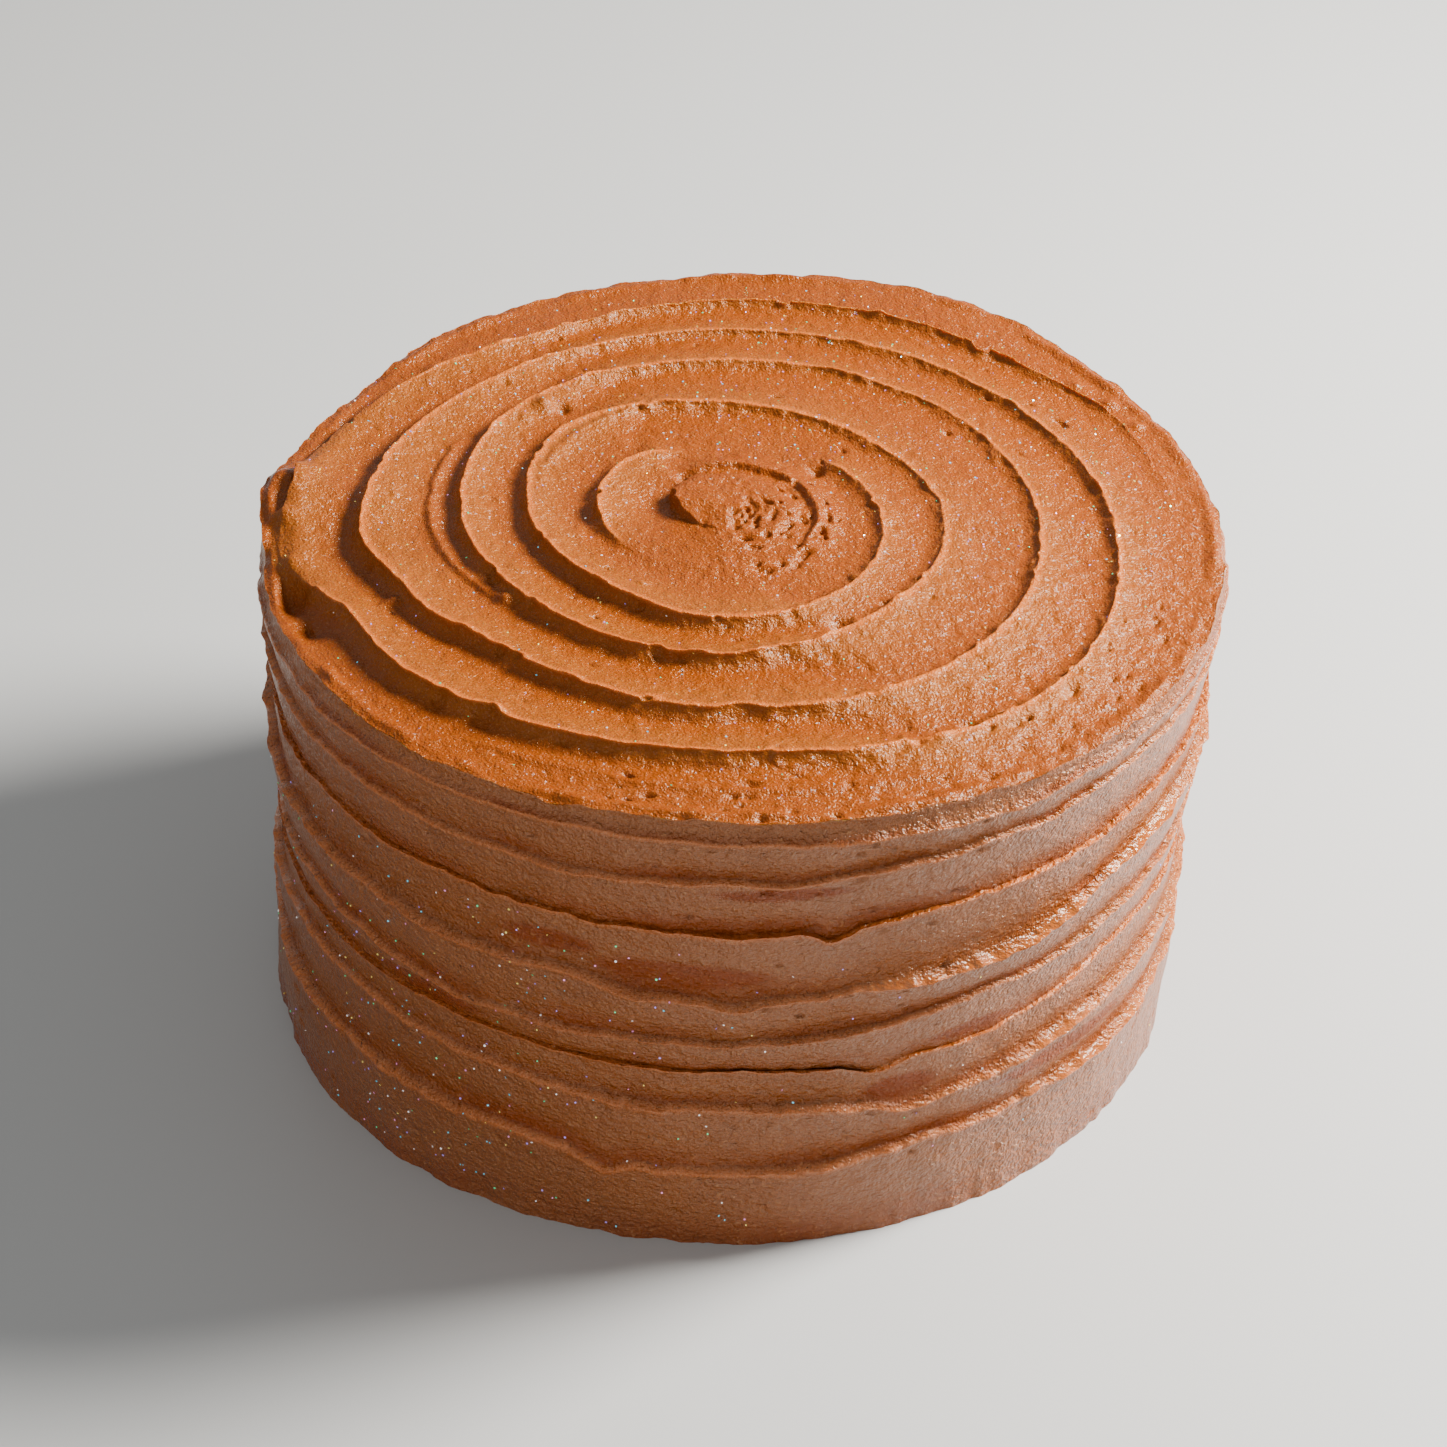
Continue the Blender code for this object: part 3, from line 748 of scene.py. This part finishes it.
class CakeTop(bpy.types.Operator):
    """Ice the top: one spiral groove with ragged crests, torn up in the middle"""

    bl_idname = "cake.top"
    bl_label = "Ice the top"

    def execute(self, context):
        look = context.scene.cake_icing
        icing = buttercream("buttercream_top", look, look.top_sheen, **TOP_FINISH)
        self.add_middle(icing)
        for name, start, end in TOP_RINGS:
            self.add_ring(name, start, end, icing)
        return {"FINISHED"}

    def add_middle(self, icing):
        """The disc in the middle, as a closed shell."""
        grid = bmesh.new()
        bmesh.ops.create_grid(grid, x_segments=TOP_CELLS, y_segments=TOP_CELLS, size=1.0)
        border = [edge for edge in grid.edges if edge.is_boundary]
        skirt = bmesh.ops.extrude_edge_only(grid, edges=border)["geom"]
        for edge in border:
            edge.smooth = False
        for vert in (item for item in skirt if isinstance(item, bmesh.types.BMVert)):
            vert.co.z = -1.0
        rim = [item for item in skirt if isinstance(item, bmesh.types.BMEdge) and item.is_boundary]
        bmesh.ops.contextual_create(grid, geom=rim)
        piece = add_piece("icing_top_middle", grid, icing)
        flat = vertex_places(piece.data)
        u, v = flat[:, 0], flat[:, 1]
        # A square laid out as a disc, so that its cells stay about the same size.
        wide = np.abs(u) >= np.abs(v)
        reach = np.where(wide, np.abs(u), np.abs(v))
        safe = np.maximum(reach, 1e-9)
        eighth = 45.0 * np.where(wide, v * np.sign(u) / safe, -u * np.sign(v) / safe)
        angle = np.where(wide, np.where(u >= 0, 0.0, 180.0), np.where(v >= 0, 90.0, 270.0)) + eighth
        self.shape(piece, angle, reach * TOP_RINGS[-1][1], flat[:, 2] < -0.5)

    def add_ring(self, name, start, end, icing):
        """A ring of the top, as a closed shell: its rows crowd where the crests are steep."""
        piece = add_piece("icing_top_" + name, closed_band(RING_COLUMNS, RING_ROWS), icing)
        flat = vertex_places(piece.data)
        angle = np.degrees(np.arctan2(flat[:, 1], flat[:, 0]))
        angles = np.arange(RING_COLUMNS) * 360.0 / RING_COLUMNS
        column = np.round(angle / 360.0 * RING_COLUMNS).astype(int) % RING_COLUMNS
        ends = np.minimum(end, rim_radius(angles))
        shares = np.linspace(0.0, 1.0, RING_SAMPLES)
        radii = ends + (start - ends) * shares[:, None]
        across, along = round_point(angles, radii)
        heights = top_height(RIM_CENTRE[0] + across, RIM_CENTRE[1] + along, fine=False)
        slopes = np.abs(np.gradient(heights, axis=0) / np.gradient(radii, axis=0))
        # Slopes are evened out among neighbours, so that the rows bend gently.
        for _ in range(12):
            slopes = (np.roll(slopes, 1, 1) + slopes + np.roll(slopes, -1, 1)) / 3.0
            slopes = (np.roll(slopes, 1, 0) + slopes + np.roll(slopes, -1, 0)) / 3.0
        crowding = np.cumsum(0.5 + np.clip(slopes, 0.0, 1.2), axis=0)
        crowding = (crowding - crowding[0]) / (crowding[-1] - crowding[0])
        rows = np.arange(RING_ROWS + 1) / RING_ROWS
        lines = [np.interp(rows, crowding[:, n], radii[:, n]) for n in range(RING_COLUMNS)]
        row = np.clip(np.round(-flat[:, 2]).astype(int), 0, RING_ROWS)
        self.shape(piece, angle, np.array(lines)[column, row], np.hypot(flat[:, 0], flat[:, 1]) < 0.75)

    def shape(self, piece, angle, radius, under):
        """Puts the points in place, given as angle and distance from the middle of the rim."""
        turned = np.radians(angle)
        reach = radius / rim_radius(angle)
        radius = radius + rim_tear(angle, 0) * smooth(reach, 0.985, 1.0)
        across, along = round_point(angle, radius)
        x, y = RIM_CENTRE[0] + across, RIM_CENTRE[1] + along
        z = top_height(x, y)
        relief, profile, _ = groove_height(x, y)
        round_centre = np.arctan2(y - SWIRL_CENTRE[1], x - SWIRL_CENTRE[0])
        fade = 1.0 - smooth(reach, 0.85, 0.95)
        crest = np.clip(relief / CREST_HEIGHT, 0.0, 1.0) * profile**3 * fade
        lean = CREST_LEAN * crest * (2.0 * steep_outside(np.degrees(round_centre)) - 1.0)
        inset = np.where(under & (reach > 0.9), -SHELL_DEPTH, 0.0)
        x = x + lean * np.cos(round_centre) + inset * np.cos(turned)
        y = y + lean * np.sin(round_centre) + inset * np.sin(turned)
        z = z - SHELL_DEPTH * under
        set_places(piece.data, np.stack([x - MIDDLE[0], y - MIDDLE[1], z], axis=1))
        # Painted light on top: the darker colour where the crests' relief is low, in the troughs and on
        # the flats, is painted shade. The lighter colour along the crest edges is a painted highlight.
        set_attribute(piece.data, "pressed_and_shaded", 0.6 * (1.0 - smooth(relief, 0.0, 1.4 * MM)))
        lip = smooth(profile, 0.80, 0.97) * smooth(relief, 0.5 * MM, 1.2 * MM) * fade
        set_attribute(piece.data, "lip", lip)
        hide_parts("cake")
        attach(piece, "root")


class CakeSide(bpy.types.Operator):
    """Ice the side: level knife passes, each leaning in down to the ragged lip of the one below"""

    bl_idname = "cake.side"
    bl_label = "Ice the side"

    def execute(self, context):
        look = context.scene.cake_icing
        icing = buttercream("buttercream_side", look, look.side_sheen, **SIDE_FINISH)
        for name, first, last in SIDE_PARTS:
            self.add_part(name, first, last, icing)
        return {"FINISHED"}

    def add_part(self, name, first, last, icing):
        """A ring of the side, from line first to line last: the lowest is whole, with the underside."""
        grid = closed_band(SIDE_COLUMNS, PART_ROWS, last == len(RIDGES) + 1)
        piece = add_piece("icing_side_" + name, grid, icing)
        mesh = piece.data
        flat = vertex_places(mesh)
        angle = np.degrees(np.arctan2(flat[:, 1], flat[:, 0]))
        inner = np.hypot(flat[:, 0], flat[:, 1]) < 0.75
        places, pressed_and_shaded, lip, shiny = side_places(angle, -flat[:, 2] / PART_ROWS, first, last)
        behind = np.stack([*round_point(angle, 1.0), 0.0 * angle], axis=1)
        if first == 0:
            # The back wall's top lies lower, so that it stays under the dents near the rim.
            behind[:, 2] = 1.5
        places = np.where(inner[:, None], places - SHELL_DEPTH * behind, places)
        set_places(mesh, places)
        set_attribute(mesh, "pressed_and_shaded", pressed_and_shaded)
        set_attribute(mesh, "lip", lip)
        set_attribute(mesh, "shiny", shiny)
        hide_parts("cake")
        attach(piece, "root")


def side_lines(angle):
    """Every line round the side from the rim to the foot: height, ragged stand-out and smooth one."""
    rim = (rim_height(angle) + rim_tear(angle, 1), RIM_LIP + rim_tear(angle, 0), RIM_LIP + 0.0 * angle)
    lines = [rim]
    for number in range(len(RIDGES)):
        x, y = round_point(angle, NOISE_RADIUS)
        tear = 0.8 * rough_noise(x, y, 0.0, 11 * MM, 50 + number, 3)
        tear = tear + 0.55 * rough_noise(x, y, 0.0, 2.6 * MM, 60 + number, 3)
        body = RIDGES[number][1] * (1.0 + 0.35 * noise(x, y, 0.0, 16 * MM, 80 + number))
        ragged = body * (1.0 + 0.25 * rough_noise(x, y, 0.0, 3 * MM, 70 + number, 2))
        lines.append((ridge_height(number, angle) + MM * tear, ragged, body))
    foot = FOOT_FLARE * (1.0 + 0.9 * rough_noise(x, y, 0.0, 5 * MM, 78, 4))
    lines.append((np.zeros_like(angle), foot, foot))
    return lines


def side_pits(angle, height):
    """Burst bubbles and short level drags in the side, thickest at the front left."""
    draws = np.random.default_rng(19)
    spots = [(draws.uniform(200, 300), draws.uniform(8, 88)) for _ in range(200)]
    spots += [(draws.uniform(0, 360), draws.uniform(5, 88)) for _ in range(240)]
    depth = np.zeros_like(angle)
    for at, up in spots:
        tall = draws.uniform(0.25, 0.55)
        wide = tall * draws.uniform(1.0, 3.0)
        round_by = np.radians(turned_by(angle, at)) * NOISE_RADIUS / MM
        hole = np.exp(-((round_by / wide) ** 2) - ((height / MM - up - 0.15 * round_by) / tall) ** 2)
        depth = depth - draws.uniform(0.25, 0.7) * MM * hole
    return depth


def side_places(angle, down, first, last):
    """Where each point of a ring goes: down is 0 at its top line and 1 at its bottom line."""
    columns = np.arange(SIDE_COLUMNS) * 360.0 / SIDE_COLUMNS
    column = np.round(angle * SIDE_COLUMNS / 360.0).astype(int) % SIDE_COLUMNS
    lines = side_lines(columns)
    spans = [np.mean(lines[n][0] - lines[n + 1][0]) for n in range(first, last)]
    ends = np.concatenate([[0.0], np.cumsum(spans) / np.sum(spans)])
    rows = np.round(ends * PART_ROWS) / PART_ROWS
    height, relief, pressed_and_shaded, lip = (np.zeros_like(angle) for _ in range(4))
    for step in range(last - first):
        upper, upper_out, upper_body = (values[column] for values in lines[first + step])
        lower, lower_out, _ = (values[column] for values in lines[first + step + 1])
        share = (down - rows[step]) / (rows[step + 1] - rows[step])
        inside = (share >= 0.0) & (share <= 1.0)
        share = np.clip(share, 0.0, 1.0)
        # The face leans in towards its lower end, where the next lip stands out as a thin ledge.
        edge = np.exp(-((share / EDGE_SHARE) ** 2))
        face = BAND_BODY * upper_body * (1.0 - share**1.9)
        face = face + (upper_out - BAND_BODY * upper_body) * edge
        ledge = 0.22 * smooth(share, 0.75, 1.0)
        if first + step in SOFT_BANDS:
            ledge = np.clip((share - 0.15) / 0.85, 0.0, 1.0) ** 2.5
        height = np.where(inside, upper + (lower - upper) * share, height)
        relief = np.where(inside, face + lower_out * ledge, relief)
        # Low in each band, where the face leans in under the next ledge, the colour darkens as painted
        # shade. The top of each band, the ledge, gets the painted highlight.
        pressed_and_shaded = np.where(inside, smooth(share, 0.5, 0.95), pressed_and_shaded)
        lip = np.where(inside, 1.0 - smooth(share, 0.0, 0.08), lip)
    x0, y0 = round_point(angle, NOISE_RADIUS)
    pressed = 0.25 * smooth(noise(x0, y0, height, 17 * MM, 91), 0.1, 0.7)
    for at, up, wide, tall in PRESSED:
        spot = (turned_by(angle, at) / wide) ** 2 + ((height / MM - up) / tall) ** 2
        pressed = np.maximum(pressed, np.exp(-(spot**1.5)))
    patchy = np.clip(0.55 + 0.6 * noise(x0, y0, height, 12 * MM, 95), 0.2, 1.0)
    # Pressed patches are darker in their own right and take the same colour as the painted shade.
    pressed_and_shaded = np.maximum(pressed_and_shaded * patchy, smooth(pressed, 0.15, 0.7))
    broken = smooth(rough_noise(x0, y0, height, 5 * MM, 93), -0.25, 0.1)
    shiny = np.zeros_like(angle)
    for ridge, start, end in SHINY_LIPS:
        if first <= ridge + 1 <= last:
            along = smooth(angle % 360.0, start, start + 5) * (1.0 - smooth(angle % 360.0, end - 5, end))
            bead = np.exp(-(((height - lines[ridge + 1][0][column]) / (0.9 * MM)) ** 2))
            shiny = np.maximum(shiny, along * bead * broken)
    pressed_and_shaded = pressed_and_shaded * (1.0 - shiny)
    relief = relief + 0.5 * MM * shiny
    relief = relief + side_pits(angle, height) * (down < 1.0) * (down > 0.0)
    relief = relief + 0.30 * MM * rough_noise(x0, y0, height, 6 * MM, 7) * smooth(height, 0.0, 4 * MM)
    relief = relief + 0.08 * MM * noise(x0, y0, height, 1.3 * MM, 8) * (1.0 - pressed_and_shaded)
    x, y = round_point(angle, wall_radius(angle, height) + relief)
    centre = axis_at(height)
    places = np.stack([centre[0] + x - MIDDLE[0], centre[1] + y - MIDDLE[1], height], axis=1)
    return places, pressed_and_shaded, lip, shiny


class CakeGlitterDust(bpy.types.Operator):
    """Dust the icing with edible glitter: most on the back and right of the top and low on the left"""

    bl_idname = "cake.glitter"
    bl_label = "Dust with glitter"

    def execute(self, context):
        look = context.scene.cake_glitter
        draws = np.random.default_rng(5)
        on_top = int(look.count * GLITTER_ON_TOP)
        angle = draws.uniform(-10, 170, on_top) + np.where(draws.random(on_top) < 0.25, 180, 0)
        radius = 77.0 * MM * np.sqrt(draws.uniform(0.05, 1.0, on_top))
        across, along = round_point(angle, radius)
        x, y = SWIRL_CENTRE[0] + across, SWIRL_CENTRE[1] + along
        top = np.stack([x - MIDDLE[0], y - MIDDLE[1], top_height(x, y)], axis=1)
        on_side = look.count - on_top
        around = np.where(
            draws.random(on_side) < GLITTER_AT_LEFT,
            draws.normal(235, 18, on_side), draws.uniform(0, 360, on_side),
        )
        part = np.where(draws.random(on_side) < GLITTER_LOWEST, 2, 1)
        sides = []
        for number, (_, first, last) in enumerate(SIDE_PARTS):
            chosen = around[part == number] % 360.0
            places, *_ = side_places(chosen, draws.uniform(0.05, 0.95, len(chosen)), first, last)
            outwards = round_point(chosen, FLAKE_THICKNESS)
            sides.append(places + np.stack([*outwards, 0.0 * chosen], axis=1))
        grid = bmesh.new()
        for place, upright in [(p, True) for p in top] + [(p, False) for p in np.concatenate(sides)]:
            away = Vector((0, 0, 1)) if upright else Vector((place[0], place[1], 0.0)).normalized()
            tilt = Vector(draws.normal(0.0, 0.35, 3)) + away
            turn = tilt.to_track_quat("Z", "Y").to_matrix().to_4x4()
            size = look.size * draws.uniform(0.35, 0.6)
            bmesh.ops.create_cone(
                grid, cap_ends=True, segments=FLAKE_SIDES, radius1=size, radius2=size,
                depth=FLAKE_THICKNESS, matrix=Matrix.Translation(Vector(place)) @ turn,
            )
        piece = add_piece("edible_glitter", grid, glitter_material())
        piece.data.shade_flat()
        flake_points = 2 * FLAKE_SIDES
        tints = np.repeat(draws.random(len(piece.data.vertices) // flake_points), flake_points)
        set_attribute(piece.data, "tint", tints)
        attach(piece, "root")
        return {"FINISHED"}


def glitter_material():
    """Edible glitter: pearly flakes in green, blue, pink and gold that glow faintly in their own colour
    as painted glints.
    """
    material, tree, shader = new_material("edible_pearl_glitter")
    ramp = add_node(tree, "ShaderNodeValToRGB", {"Fac": stored(tree, "tint")})
    ramp.color_ramp.interpolation = "CONSTANT"
    shades = ("#58e6a0", "#67d8f2", "#ef9fd6", "#b49cf5", "#f6e27a", "#ffffff")
    while len(ramp.color_ramp.elements) < len(shades):
        ramp.color_ramp.elements.new(1.0)
    for number, shade in enumerate(shades):
        ramp.color_ramp.elements[number].position = number / len(shades)
        ramp.color_ramp.elements[number].color = linear_colour(shade)
    tree.links.new(ramp.outputs["Color"], shader.inputs["Base Color"])
    # The flakes glow a little in their own colour: painted glints, for flashes towards the camera
    # brighter than rough facets of this size would give.
    tree.links.new(ramp.outputs["Color"], shader.inputs["Emission Color"])
    shader.inputs["Emission Strength"].default_value = 0.3
    shader.inputs["Metallic"].default_value = 0.5
    shader.inputs["Roughness"].default_value = 0.3
    return material


class CakeStudio(bpy.types.Operator):
    """Set the floor, the window light from the right, the room and the camera"""

    bl_idname = "cake.studio"
    bl_label = "Set the studio"

    def execute(self, context):
        look = context.scene.cake_stage
        self.add_floor(look)
        self.add_lights(look)
        self.add_camera()
        return {"FINISHED"}

    def add_floor(self, look):
        grid = bmesh.new()
        bmesh.ops.create_grid(grid, x_segments=1, y_segments=1, size=3.0)
        material, _, shader = new_material("pale_stone_floor")
        shader.inputs["Base Color"].default_value = list(look.floor_colour) + [1.0]
        shader.inputs["Roughness"].default_value = 0.45
        floor = add_piece("floor", grid, material)

    def add_lights(self, look):
        self.add_light("window", look.key_power, look.key_size, KEY_PLACE, (1.0, 0.97, 0.93))
        self.add_light("bounce", look.bounce_power, BOUNCE_SIZE, BOUNCE_PLACE, (1.0, 0.98, 0.96))
        world = bpy.data.worlds.new("room")
        world.use_nodes = True
        background = world.node_tree.nodes["Background"]
        background.inputs["Color"].default_value = (0.95, 0.98, 1.0, 1.0)
        background.inputs["Strength"].default_value = look.fill_power
        bpy.context.scene.world = world

    def add_light(self, name, power, size, place, colour):
        """A round soft light that faces the cake."""
        light = bpy.data.lights.new(name, "AREA")
        light.shape = "DISK"
        light.size = size
        light.energy = power
        light.color = colour
        azimuth, rise, distance = math.radians(place[0]), math.radians(place[1]), place[2]
        towards = Vector((
            math.cos(azimuth) * math.cos(rise), math.sin(azimuth) * math.cos(rise), math.sin(rise),
        ))
        holder = bpy.data.objects.new(name, light)
        holder.location = Vector((0.0, 0.0, RIM_HEIGHT / 2.0)) + distance * towards
        holder.rotation_mode = "QUATERNION"
        holder.rotation_quaternion = towards.to_track_quat("Z", "Y")
        bpy.context.scene.collection.objects.link(holder)

    def add_camera(self):
        """The photo's camera: turned to the right, tipped down and then rolled."""
        facing = Matrix.Rotation(-math.radians(CAMERA_TURN), 4, "Z")
        facing = facing @ Matrix.Rotation(math.radians(90.0 - CAMERA_DIP), 4, "X")
        facing = facing @ Matrix.Rotation(math.radians(CAMERA_ROLL), 4, "Z")
        place = Vector(CAMERA_PLACE) - Vector((MIDDLE[0], MIDDLE[1], 0.0))
        lens = bpy.data.cameras.new("camera")
        lens.sensor_width = SENSOR_WIDTH
        lens.lens = FOCAL_PIXELS / PHOTO_PIXELS * SENSOR_WIDTH
        lens.clip_start = 0.01
        camera = bpy.data.objects.new("camera", lens)
        camera.matrix_world = Matrix.Translation(place) @ facing
        bpy.context.scene.collection.objects.link(camera)
        bpy.context.scene.camera = camera


class CakePanel(bpy.types.Panel):
    """The cake's steps and settings, in the 3D view's sidebar"""

    bl_idname = "VIEW3D_PT_cake"
    bl_label = "Buttercream cake"
    bl_space_type = "VIEW_3D"
    bl_region_type = "UI"
    bl_category = "Cake"

    def draw(self, context):
        layout = self.layout
        for step in STEPS:
            layout.operator(step.bl_idname)
        for settings in (context.scene.cake_icing, context.scene.cake_glitter, context.scene.cake_stage):
            box = layout.box()
            for name in settings.__annotations__:
                box.prop(settings, name)


SETTINGS = (("cake_icing", CakeIcing), ("cake_glitter", CakeGlitter), ("cake_stage", CakeStage))
STEPS = (CakeTop, CakeSide, CakeGlitterDust, CakeStudio)


def register():
    for _, group in SETTINGS:
        bpy.utils.register_class(group)
    for step in STEPS:
        bpy.utils.register_class(step)
    bpy.utils.register_class(CakePanel)
    for name, group in SETTINGS:
        setattr(bpy.types.Scene, name, PointerProperty(type=group))


def unregister():
    for name, _ in SETTINGS:
        delattr(bpy.types.Scene, name)
    bpy.utils.unregister_class(CakePanel)
    for step in reversed(STEPS):
        bpy.utils.unregister_class(step)
    for _, group in reversed(SETTINGS):
        bpy.utils.unregister_class(group)


def main():
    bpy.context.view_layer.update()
    register()
    bpy.ops.cake.top()
    bpy.ops.cake.side()
    bpy.ops.cake.glitter()
    bpy.ops.cake.studio()


if __name__ == "__main__":
    main()
